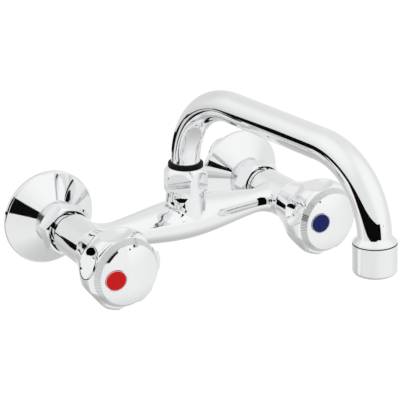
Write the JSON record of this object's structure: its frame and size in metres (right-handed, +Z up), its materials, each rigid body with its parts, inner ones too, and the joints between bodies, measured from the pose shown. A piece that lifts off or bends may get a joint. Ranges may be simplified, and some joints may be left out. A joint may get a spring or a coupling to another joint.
{
  "type": "wall-mounted basin mixer tap",
  "caption": "Wall-mounted two-handle mixer tap with eccentric wall unions, turning lobed handles and a swivelling bent spout with an aerator.",
  "frame": {"origin": "midway between the two wall inlets, on the wall plane", "axes": "+Z up, -Y from the wall towards the user, +X towards the cold side"},
  "size_m": [0.2128, 0.258, 0.1277],
  "materials": {
    "chrome_body": "polished",
    "chrome_spout": "polished",
    "chrome_nuts": "polished",
    "chrome_covers": "polished",
    "chrome_unions": "plated, less polished",
    "chrome_handles": "polished",
    "plain_brass": "machined",
    "stainless": "plain",
    "black_rubber": "matt",
    "white_plastic": "moulded",
    "red_index": "glossy",
    "blue_index": "glossy"
  },
  "bodies": {
    "mixer": {"mixer_body": "chrome_body", "spout_nut": "chrome_nuts", "spout_ring": "black_rubber", "eccentric_union_left": "chrome_unions", "wall_cover_left": "chrome_covers", "union_nut_left": "chrome_nuts", "inlet_gasket_left": "black_rubber", "inlet_strainer_left": "stainless", "keeper_ring_left": "stainless", "bonnet_gasket_left": "black_rubber", "valve_bonnet_left": "chrome_body", "eccentric_union_right": "chrome_unions", "wall_cover_right": "chrome_covers", "union_nut_right": "chrome_nuts", "inlet_gasket_right": "black_rubber", "inlet_strainer_right": "stainless", "keeper_ring_right": "stainless", "bonnet_gasket_right": "black_rubber", "valve_bonnet_right": "chrome_body"},
    "spout": {"spout_tube": "chrome_spout", "spout_split_ring": "white_plastic", "spout_o_ring_lower": "black_rubber", "spout_o_ring_upper": "black_rubber", "aerator_housing": "chrome_spout", "aerator_gasket": "black_rubber", "aerator_insert": "white_plastic"},
    "handle_left": {"handle_body_left": "chrome_handles", "handle_cap_left": "chrome_handles", "index_disc_left": "red_index", "handle_screw_left": "stainless", "valve_spindle_left": "plain_brass", "spindle_o_ring_left": "black_rubber", "spindle_circlip_left": "stainless"},
    "plug_left": {"valve_plug_left": "plain_brass", "seat_washer_left": "black_rubber", "washer_screw_left": "stainless"},
    "handle_right": {"handle_body_right": "chrome_handles", "handle_cap_right": "chrome_handles", "index_disc_right": "blue_index", "handle_screw_right": "stainless", "valve_spindle_right": "plain_brass", "spindle_o_ring_right": "black_rubber", "spindle_circlip_right": "stainless"},
    "plug_right": {"valve_plug_right": "plain_brass", "seat_washer_right": "black_rubber", "washer_screw_right": "stainless"}
  },
  "joints": [
    {"name": "spout_swivel", "type": "hinge", "parent": "mixer", "child": "spout", "pos_m": [0, -0.05, 0.012], "axis": [0, 0, 1], "range_deg": [-95, 90]},
    {"name": "handle_turn_left", "type": "hinge", "parent": "mixer", "child": "handle_left", "pos_m": [-0.075, -0.07, -0.009], "axis": [0, -1, 0], "range_deg": [0, 540]},
    {"name": "plug_lift_left", "type": "slide", "parent": "mixer", "child": "plug_left", "axis": [0, -1, 0], "range_m": [0, 0.003]},
    {"name": "handle_turn_right", "type": "hinge", "parent": "mixer", "child": "handle_right", "pos_m": [0.075, -0.07, -0.009], "axis": [0, -1, 0], "range_deg": [0, 540]},
    {"name": "plug_lift_right", "type": "slide", "parent": "mixer", "child": "plug_right", "axis": [0, -1, 0], "range_m": [0, 0.003]}
  ],
  "couplings": [
    {"joint": "plug_lift_left", "follows": "handle_turn_left", "m_per_rad": 0.0003183},
    {"joint": "plug_lift_right", "follows": "handle_turn_right", "m_per_rad": 0.0003183}
  ]
}
